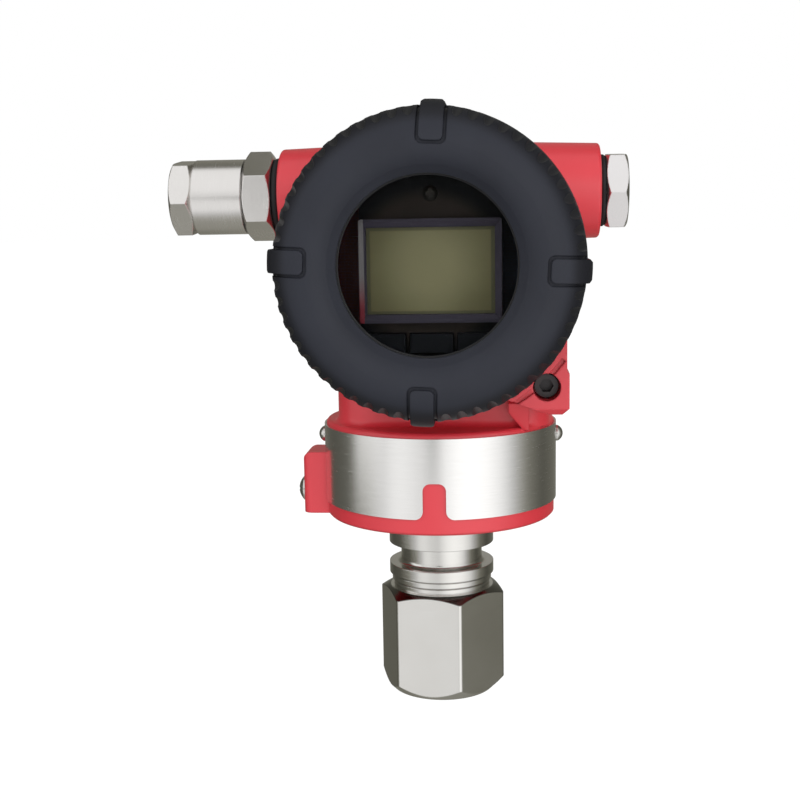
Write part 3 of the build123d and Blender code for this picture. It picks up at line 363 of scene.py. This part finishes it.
def makeScrewSteel(name, dark, light, roughness):
    material, paint = newMaterial(name)
    cloud = paint.noise(screwSteel["cloudScale"], 3)
    paint.setShader({
        "Base Color": paint.mixed(cloud, dark, light),
        "Metallic": 1.0,
        "Roughness": roughness + cloud * screwSteel["roughnessSpread"],
        "Normal": paint.bump(cloud, screwSteel["relief"], screwSteel["reliefDepth"],
                             paint.softEdges(screwSteel["softEdge"]))})
    return material


# Sight glass, which lets light through to the display without caustics
sightGlass = {"tint": (0.90, 0.93, 0.93, 1), "roughness": 0.015, "index": 1.46}


def makeSightGlass():
    material, paint = newMaterial("sightGlass")
    paint.setShader({
        "Base Color": sightGlass["tint"], "Roughness": sightGlass["roughness"],
        "Transmission Weight": 1.0, "IOR": sightGlass["index"]})
    seeThrough = paint.node("BsdfTransparent", inputs={"Color": sightGlass["tint"]})
    shadow = paint.node("LightPath", output="Is Shadow Ray")
    paint.showSurface(paint.node("MixShader", inputs={
        0: shadow, 1: paint.shaderWire(), 2: seeThrough}))
    return material


# Black rubber of the O-rings, gaskets and the window's bead
sealRubber = {
    "low": (0.009, 0.009, 0.010), "high": (0.022, 0.022, 0.023), "specular": 0.25,
    "roughness": 0.55, "roughnessSpread": 0.2,
    "grainScale": 1800, "grain": 0.1, "grainDepth": 0.1 * mm,
}


def makeSealRubber():
    material, paint = newMaterial("sealRubber")
    grain = paint.noise(sealRubber["grainScale"], 2)
    paint.setShader({
        "Base Color": paint.mixed(grain, sealRubber["low"], sealRubber["high"]),
        "Roughness": sealRubber["roughness"] + grain * sealRubber["roughnessSpread"],
        "Specular IOR Level": sealRubber["specular"],
        "Normal": paint.bump(grain, sealRubber["grain"], sealRubber["grainDepth"])})
    return material


# Moulded plastic of the keys and the terminal block
moulding = {
    "grainScale": 2200, "cloudScale": 80, "roughness": 0.5, "roughnessSpread": 0.15,
    "grainDepth": 0.08 * mm, "softEdge": 0.25 * mm,
}
mouldedKinds = {
    # dark and light tone, strength of the grain, and gloss
    "keyPlastic": ((0.007, 0.0075, 0.010), (0.010, 0.011, 0.015), 0.05, 0.12),
    "terminalPlastic": ((0.02, 0.02, 0.02), (0.03, 0.03, 0.03), 0.12, 0.5),
}


def makeMoulded(name, dark, light, grainStrength, gloss):
    material, paint = newMaterial(name)
    grain = paint.noise(moulding["grainScale"], 3)
    cloud = paint.noise(moulding["cloudScale"], 2)
    paint.setShader({
        "Base Color": paint.mixed(cloud, dark, light),
        "Roughness": moulding["roughness"] + (grain - 0.5) * moulding["roughnessSpread"],
        "Specular IOR Level": gloss,
        "Normal": paint.bump(grain, grainStrength, moulding["grainDepth"],
                             paint.softEdges(moulding["softEdge"]))})
    return material


# Display's bezel: a dull plate with painted shade towards the window's edge, and a raised frame
# round the panel, whose left side carries a painted reflection, pale above and reddish at its foot
bezel = {
    "plateLow": (0.030, 0.021, 0.018), "plateHigh": (0.042, 0.030, 0.026),
    "shade": (0.004, 0.004, 0.006), "shadeMiddle": (-1.3 * mm, 138.4 * mm),
    "shadeFrom": 19.0 * mm, "shadeTo": 24.5 * mm,
    "frame": (0.056, 0.047, 0.066), "frameFrom": -37.6 * mm, "frameTo": -37.4 * mm,
    # painted reflection on the frame's left side: a pale tone, and a reddish tone at its foot
    "leftPaintedReflection": (0.24, 0.215, 0.22), "leftFrom": -19.1 * mm, "leftTo": -18.9 * mm,
    "foot": (0.26, 0.035, 0.05), "redReflectionFrom": 126 * mm, "redReflectionTo": 138 * mm,
    "plateRoughness": 0.5, "plateSpread": 0.05, "frameRoughness": 0.3, "frameSpread": 0.08,
    "specular": 0.12, "grain": 0.02, "grainDepth": 0.05 * mm, "softEdge": 0.15 * mm,
}


def makeBezelPlastic():
    material, paint = newMaterial("bezelPlastic")
    x, y, z = paint.objectPlace()
    grain = paint.noise(moulding["grainScale"], 3)
    cloud = paint.noise(moulding["cloudScale"], 2)
    plate = paint.mixed(cloud, bezel["plateLow"], bezel["plateHigh"])
    middleX, middleZ = bezel["shadeMiddle"]
    shade = paint.ranged(distance(x - middleX, z - middleZ), bezel["shadeFrom"], bezel["shadeTo"])
    plate = paint.mixed(shade, plate, bezel["shade"])
    # painted reflection down the frame's left side, turning reddish towards its foot
    foot = paint.ranged(z, bezel["redReflectionFrom"], bezel["redReflectionTo"], 1.0, 0.0)
    left = paint.ranged(x, bezel["leftFrom"], bezel["leftTo"], 1.0, 0.0)
    paintedReflectionTone = paint.mixed(foot, bezel["leftPaintedReflection"], bezel["foot"])
    rim = paint.ranged(y, bezel["frameFrom"], bezel["frameTo"], 1.0, 0.0)
    paint.setShader({
        "Base Color": paint.mixed(rim, plate, paint.mixed(left, bezel["frame"], paintedReflectionTone)),
        "Roughness": paint.blend(
            rim, bezel["plateRoughness"] + (grain - 0.5) * bezel["plateSpread"],
            bezel["frameRoughness"] + cloud * bezel["frameSpread"]),
        "Specular IOR Level": bezel["specular"],
        "Normal": paint.bump(grain, bezel["grain"], bezel["grainDepth"],
                             paint.softEdges(bezel["softEdge"]))})
    return material


# Display panel, switched off: olive, with a painted pool of light in its middle, a dark border and
# fine dots
displayPanel = {
    "dark": (0.12, 0.105, 0.045), "light": (0.31, 0.275, 0.150), "border": (0.05, 0.048, 0.03),
    "paintedLightHeight": 140 * mm, "paintedLightFrom": 4 * mm, "paintedLightTo": 22 * mm,
    "paintedLightShare": 0.7, "cloudScale": 60, "borderShare": 0.6,
    "sideFrom": 17.0 * mm, "sideTo": 17.5 * mm,
    "height": 138.1 * mm, "endFrom": 11.2 * mm, "endTo": 11.7 * mm,
    "dotPitch": 0.30 * mm, "dots": 0.02, "dotDepth": 0.03 * mm,
    "roughness": 0.4, "specular": 0.2,
}


def makeDisplayPanel():
    material, paint = newMaterial("displayPanel")
    x, y, z = paint.objectPlace()
    cloud = paint.noise(displayPanel["cloudScale"], 2)
    perDot = pi / displayPanel["dotPitch"]
    dots = (x * perDot).sine() * (z * perDot).sine()
    sides = paint.ranged(abs(x), displayPanel["sideFrom"], displayPanel["sideTo"])
    ends = paint.ranged(abs(z - displayPanel["height"]),
                        displayPanel["endFrom"], displayPanel["endTo"])
    # painted pool of light, brightest round the panel's middle
    middle = 1.0 - paint.ranged(distance(x, z - displayPanel["paintedLightHeight"]),
                                displayPanel["paintedLightFrom"], displayPanel["paintedLightTo"])
    share = displayPanel["paintedLightShare"]
    face = paint.mixed(middle * share + cloud * (1 - share),
                       displayPanel["dark"], displayPanel["light"])
    border = paint.blend(sides, ends, 1.0) * displayPanel["borderShare"]
    paint.setShader({
        "Base Color": paint.mixed(border, face, displayPanel["border"]),
        "Roughness": displayPanel["roughness"],
        "Specular IOR Level": displayPanel["specular"],
        "Normal": paint.bump(dots, displayPanel["dots"], displayPanel["dotDepth"])})
    return material


# Circuit boards: dark blue, reddish at the left behind the display, with faint tracks
circuitBoard = {
    "maskLow": (0.024, 0.034, 0.052), "maskHigh": (0.032, 0.046, 0.075),
    "left": (0.100, 0.034, 0.032), "leftFrom": -23 * mm, "leftTo": -19 * mm,
    "track": (0.03, 0.07, 0.17), "trackShare": 0.2, "trackScale": 260.0, "trackWidth": 0.03,
    "trackOffset": 0.35, "trackSquash": 0.6, "trackRelief": 0.04, "trackDepth": 0.04 * mm,
    "cloudScale": 120, "roughness": 0.4, "specular": 0.15,
}


def makeCircuitBoard():
    material, paint = newMaterial("circuitBoard")
    black, white = (0, 0, 0, 1), (1, 1, 1, 1)
    facing = paint.node("Mapping", inputs={
        "Vector": paint.node("TexCoord", output="Object"), "Rotation": (pi / 2, 0, 0)})
    tracks = paint.node(
        "TexBrick",
        {"offset": circuitBoard["trackOffset"], "squash": circuitBoard["trackSquash"]},
        {"Vector": facing, "Scale": circuitBoard["trackScale"],
         "Mortar Size": circuitBoard["trackWidth"],
         "Color1": black, "Color2": black, "Mortar": white})
    cloud = paint.noise(circuitBoard["cloudScale"], 3)
    x, y, z = paint.objectPlace()
    left = paint.ranged(x, circuitBoard["leftFrom"], circuitBoard["leftTo"], 1.0, 0.0)
    mask = paint.mixed(cloud, circuitBoard["maskLow"], circuitBoard["maskHigh"])
    mask = paint.mixed(left, mask, circuitBoard["left"])
    paint.setShader({
        "Base Color": paint.mixed(tracks * circuitBoard["trackShare"], mask, circuitBoard["track"]),
        "Roughness": circuitBoard["roughness"],
        "Specular IOR Level": circuitBoard["specular"],
        "Normal": paint.bump(tracks, circuitBoard["trackRelief"], circuitBoard["trackDepth"])})
    return material


# Brass of the standoffs between the boards
spacerBrass = {
    "dark": (0.62, 0.44, 0.16), "light": (0.78, 0.58, 0.26), "cloudScale": 500,
    "roughness": 0.25, "roughnessSpread": 0.15,
}


def makeSpacerBrass():
    material, paint = newMaterial("spacerBrass")
    cloud = paint.noise(spacerBrass["cloudScale"], 3)
    paint.setShader({
        "Base Color": paint.mixed(cloud, spacerBrass["dark"], spacerBrass["light"]),
        "Metallic": 1.0,
        "Roughness": spacerBrass["roughness"] + cloud * spacerBrass["roughnessSpread"]})
    return material


finishes = {
    "redPaint": makeRedPaint(),
    "blackPaint": makeBlackPaint(),
    "bandSteel": makeBandSteel(),
    "sightGlass": makeSightGlass(),
    "sealRubber": makeSealRubber(),
    "bezelPlastic": makeBezelPlastic(),
    "displayPanel": makeDisplayPanel(),
    "circuitBoard": makeCircuitBoard(),
    "spacerBrass": makeSpacerBrass(),
}
for make, kinds in ((makeTurnedSteel, turnedPieces), (makeScrewSteel, screwKinds),
                    (makeMoulded, mouldedKinds)):
    for name, values in kinds.items():
        finishes[name] = make(name, *values)
wears = {
    "connectionSteel": [
        "process_connection", "isolating_diaphragm", "sensor_capsule", "capsule_lock_ring"],
    "redPaint": ["housing"],
    "blackPaint": ["front_cover", "rear_cover", "window_retainer"],
    "bandSteel": ["nameplate_band"],
    "platedSteel": [
        "band_rivets", "ground_screw", "terminal_screws", "terminal_block_screws",
        "inner_ground_screw"],
    "blackScrew": ["front_lock_screw", "rear_lock_screw"],
    "dullScrew": ["display_screws"],
    "sightGlass": ["window_glass"],
    "sealRubber": [
        "capsule_o_ring", "window_gasket", "front_cover_o_ring", "rear_cover_o_ring",
        "gland_o_ring", "gland_seal", "plug_o_ring"],
    "circuitBoard": ["header_board", "main_board", "display_board"],
    "spacerBrass": ["board_standoffs"],
    "displayPanel": ["lcd_panel"],
    "bezelPlastic": ["display_bezel"],
    "keyPlastic": ["key_left", "key_middle", "key_right"],
    "terminalPlastic": ["terminal_block"],
    "glandSteel": ["gland_body", "gland_slip_ring", "gland_nut"],
    "plugSteel": ["blanking_plug"],
}
for finish, names in wears.items():
    for name in names:
        mesh = nodes[name].data
        mesh.materials.clear()
        mesh.materials.append(finishes[finish])
print("finishes given to", sum(len(names) for names in wears.values()), "nodes")


def addPiece(name, shape, finish, body):
    mesh = bpy.data.meshes.new(name)
    bmesh.ops.recalc_face_normals(shape, faces=shape.faces)
    shape.to_mesh(mesh)
    shape.free()
    piece = bpy.data.objects.new(name, mesh)
    bpy.context.scene.collection.objects.link(piece)
    mesh.materials.append(finishes[finish])
    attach(piece, body)


# Threads, left out of the plain solids: ridges whose turns follow the joints' pitch.
# Foot and tip are half widths as shares of the pitch, and the ends fade over part of a turn
threadShape = {"steps": 72, "foot": 0.36, "tip": 0.09, "fade": 0.25, "sunk": 0.05 * mm}
threadKinds = {
    "cover": {"pitch": 2.0 * mm, "height": 0.62 * mm},
    "conduit": {"pitch": 1.5 * mm, "height": 0.5 * mm},
}
axes = {
    "front": {"centre": (0, 0, barrelZ), "along": (0, -1, 0), "start": (1, 0, 0)},
    "rear": {"centre": (0, 0, barrelZ), "along": (0, 1, 0), "start": (1, 0, 0)},
    "left": {"centre": (0, 0, conduitZ), "along": (-1, 0, 0), "start": (0, 1, 0)},
    "right": {"centre": (0, 0, conduitZ), "along": (1, 0, 0), "start": (0, 1, 0)},
    "up": {"centre": (0, 0, 0), "along": (0, 0, 1), "start": (1, 0, 0)},
}
threads = {
    # kind, axis, body, finish, whether it is male, then in mm: wall's radius, start and end
    "frontSpigotThread": ("cover", "front", "head", "redPaint", True, 39.2, 39.7, 47.4),
    "frontCoverThread": ("cover", "front", "front_cover", "blackPaint", False, 40.0, 39.3, 51.2),
    "rearSpigotThread": ("cover", "rear", "head", "redPaint", True, 39.2, 39.7, 43.4),
    "rearCoverThread": ("cover", "rear", "rear_cover", "blackPaint", False, 40.0, 39.3, 47.0),
    "glandThread": ("conduit", "left", "head", "glandSteel", True, 9.4, 60.9, 69.1),
    "glandNutThread": ("conduit", "left", "gland_nut", "glandSteel", False, 10.1, 61.3, 72.8),
    "plugThread": ("conduit", "right", "blanking_plug", "glandSteel", True, 9.0, 41.1, 49.8),
    "plugEntryThread": ("conduit", "right", "head", "redPaint", False, 9.7, 36.1, 50.0),
    "processThread": ("conduit", "up", "head", "connectionSteel", False, 10.0, 1.0, 16.4),
}


def addThread(name, kind, axis, body, finish, male, wall, start, end):
    centre, along, out = (Vector(axes[axis][key]) for key in ("centre", "along", "start"))
    pitch, height = threadKinds[kind]["pitch"], threadKinds[kind]["height"]
    steps, fade, sunk = threadShape["steps"], threadShape["fade"], threadShape["sunk"]
    wall, start, end = wall * mm, start * mm, end * mm
    side = 1 if male else -1
    phase = 0.0 if male else 0.5
    foot, tip = pitch * threadShape["foot"], pitch * threadShape["tip"]
    first = pitch * (ceil((start + foot) / pitch - phase) + phase)
    count = int((end - foot - first) / pitch * steps)
    shape = bmesh.new()
    face = shape.faces.new([
        shape.verts.new(centre + along * (first + aside) + out * (wall + side * rise))
        for aside, rise in ((-foot, -sunk), (-tip, height), (tip, height), (foot, -sunk))])
    bmesh.ops.spin(shape, geom=[face, *face.edges, *face.verts], cent=centre, axis=along,
                   dvec=along * pitch / steps, angle=2 * pi * count / steps, steps=count)
    across = along.cross(out)
    for vert in shape.verts:
        place = vert.co - centre
        radial = place - along * place.dot(along)
        if side * (radial.length - wall) > 0:
            angle = atan2(radial.dot(across), radial.dot(out)) / (2 * pi)
            turns = round((place.dot(along) - first) / pitch - angle) + angle
            rise = max(0.0, min(1.0, turns / fade, (count / steps - turns) / fade))
            vert.co -= radial.normalized() * side * height * (1 - rise)
    addPiece(name, shape, finish, body)


for name, values in threads.items():
    addThread(name, *values)
print("threads cut", len(threads))


# Black rubber bead in the corner between the window's glass and the cover, put there as a dark line
# standing in for the shade round the window's edge
windowShadeBead = {
    "radius": 25.15 * mm, "section": 0.42 * mm, "segments": 10, "steps": 128, "merge": 0.001 * mm,
}


def addWindowBead():
    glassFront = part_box("window_glass")[0][1]
    bead = bmesh.new()
    made = bmesh.ops.create_circle(bead, segments=windowShadeBead["segments"],
                                   radius=windowShadeBead["section"])
    bmesh.ops.rotate(bead, verts=made["verts"], cent=(0, 0, 0),
                     matrix=Matrix.Rotation(-pi / 2, 3, "Z"))
    bmesh.ops.translate(bead, verts=made["verts"],
                        vec=(windowShadeBead["radius"], glassFront, barrelZ))
    bmesh.ops.spin(bead, geom=bead.verts[:] + bead.edges[:], cent=(0, 0, barrelZ),
                   axis=(0, 1, 0), angle=2 * pi, steps=windowShadeBead["steps"], use_merge=True)
    bmesh.ops.remove_doubles(bead, verts=bead.verts, dist=windowShadeBead["merge"])
    addPiece("windowShadeBead", bead, "sealRubber", "front_cover")


addWindowBead()
print("window sealed")


# Surround of soft boxes and dark gaps, which the metal mirrors and the camera sees as white
surround = {
    # degrees from straight behind the camera, positive towards +X, and how bright it is there
    "ring": [(-180, 0.34), (-158, 0.16), (-130, 0.08), (-100, 0.10), (-76, 0.22), (-58, 0.60),
             (-46, 0.98), (-34, 1.02), (-20, 0.88), (-6, 0.84), (4, 1.00), (16, 1.20),
             (30, 1.32), (50, 1.22), (66, 0.95), (80, 0.50), (96, 0.19), (120, 0.08),
             (158, 0.16), (180, 0.34)],
    "ringScale": 1.4,       # the ramp's colours hold the brightness divided by this
    "gapTint": (1.0, 0.98, 0.80), "tintFrom": 0.1, "tintTo": 0.6,
    # azimuth and elevation of the middle, inner and outer angle from it, and brightness
    "overhead": (-5, 58, 34, 48, 0.95),
    "pit": (-3.8, -2.1, 6.4, 9.0, 0.02),
    "lowFront": (40, -62, 14, 27, 0.85),
    # full below the first elevation, gone above the second, and brightness
    "under": (-74, -34, 0.30),
    # box low on the left: azimuths and elevations that it fades in and out over, brightness
    "leftBox": (-96, -80, -60, -50, -11.8, -10.4, 1.1),
}


def pointing(azimuth, elevation):
    across, rise = radians(azimuth), radians(elevation)
    return sin(across) * cos(rise), -cos(across) * cos(rise), sin(rise)


def addSurround():
    world = bpy.data.worlds.new("surround")
    bpy.context.scene.world = world
    paint = Paint(world)
    x, y, z = paint.split(paint.node("TexCoord", output="Generated"))
    azimuth = x.angleFrom(-1.0 * y) / (2 * pi) + 0.5
    scale = surround["ringScale"]
    stops = [(degrees / 360 + 0.5, (level / scale,) * 3) for degrees, level in surround["ring"]]
    ring = paint.node("ValToRGB", {"stops": stops}, {"Fac": azimuth})
    level = paint.node("SeparateColor", inputs={"Color": ring}) * scale

    farLeft, left, right, farRight, low, high, glow = surround["leftBox"]
    box = (paint.ranged(azimuth, farLeft / 360 + 0.5, left / 360 + 0.5)
           * paint.ranged(azimuth, right / 360 + 0.5, farRight / 360 + 0.5, 1.0, 0.0)
           * paint.ranged(z, sin(radians(low)), sin(radians(high))))
    level = paint.blend(box, level, glow)
    low, high, glow = surround["under"]
    under = paint.ranged(z, sin(radians(low)), sin(radians(high)), 1.0, 0.0)
    level = paint.blend(under, level, glow)
    for key in ("overhead", "lowFront", "pit"):
        across, rise, inner, outer, glow = surround[key]
        towards = pointing(across, rise)
        facing = x * towards[0] + y * towards[1] + z * towards[2]
        patch = paint.ranged(facing, cos(radians(outer)), cos(radians(inner)))
        level = paint.blend(patch, level, glow)
    tint = paint.mixed(paint.ranged(level, surround["tintFrom"], surround["tintTo"]),
                       surround["gapTint"], (1, 1, 1))
    lit = paint.node("Background", inputs={"Color": tint, "Strength": level})
    seen = paint.node("Background", inputs={"Color": (1, 1, 1, 1), "Strength": 1.0})
    camera = paint.node("LightPath", output="Is Camera Ray")
    both = paint.node("MixShader", inputs={0: camera, 1: lit, 2: seen})
    paint.showSurface(both, "World Output")


# The table glows so that it's as white as the background, and keeps a faint shadow,
# and its top lies just below the hexagon's lower face
tableTop = {
    "drop": 0.1 * mm, "radius": 12.0, "sides": 64, "colour": (0.9, 0.9, 0.9, 1),
    "roughness": 0.7, "glowShare": 0.88, "glow": 1.10,
}


def addTable():
    plan = bmesh.new()
    bmesh.ops.create_circle(plan, cap_ends=True, segments=tableTop["sides"],
                            radius=tableTop["radius"],
                            matrix=Matrix.Translation((0, 0, -tableTop["drop"])))
    mesh = bpy.data.meshes.new("table")
    plan.to_mesh(mesh)
    plan.free()
    table = bpy.data.objects.new("table", mesh)
    bpy.context.scene.collection.objects.link(table)
    material, paint = newMaterial("tableTop")
    paint.setShader({"Base Color": tableTop["colour"], "Roughness": tableTop["roughness"]})
    glow = paint.node("Emission", inputs={"Color": (1, 1, 1, 1), "Strength": tableTop["glow"]})
    paint.showSurface(paint.node("MixShader", inputs={
        0: tableTop["glowShare"], 1: paint.shaderWire(), 2: glow}))
    mesh.materials.append(material)
    table.visible_glossy = False
    table.visible_diffuse = False
    table.visible_transmission = False
    table.visible_shadow = False


# Soft lamps that light the paint and don't show in metal or glass
lampAim = (0, 0, 0.12)
lamps = {
    # place, size and power
    "keyLamp": ((-0.6, -0.9, 0.9), 0.8, 3.0),
    "fillLamp": ((0.20, -1.28, 0.30), 0.9, 5.0),
    "sideLamp": ((1.0, -0.7, 0.22), 0.6, 3.0),
    "backLamp": ((0.80, 1.15, 0.70), 0.9, 12.0),
    "backFillLamp": ((-0.7, 1.2, 0.25), 0.9, 7.0),
}


def addLamp(name, place, size, power):
    lamp = bpy.data.lights.new(name, "AREA")
    lamp.shape = "SQUARE"
    lamp.size = size
    lamp.energy = power
    holder = bpy.data.objects.new(name, lamp)
    holder.location = place
    aim = Vector(lampAim) - Vector(place)
    holder.rotation_euler = aim.to_track_quat("-Z", "Y").to_euler()
    holder.visible_glossy = False
    holder.visible_transmission = False
    bpy.context.scene.collection.objects.link(holder)


addSurround()
addTable()
for name, values in lamps.items():
    addLamp(name, *values)
bpy.context.scene.view_settings.view_transform = "Standard"
print("studio lit")
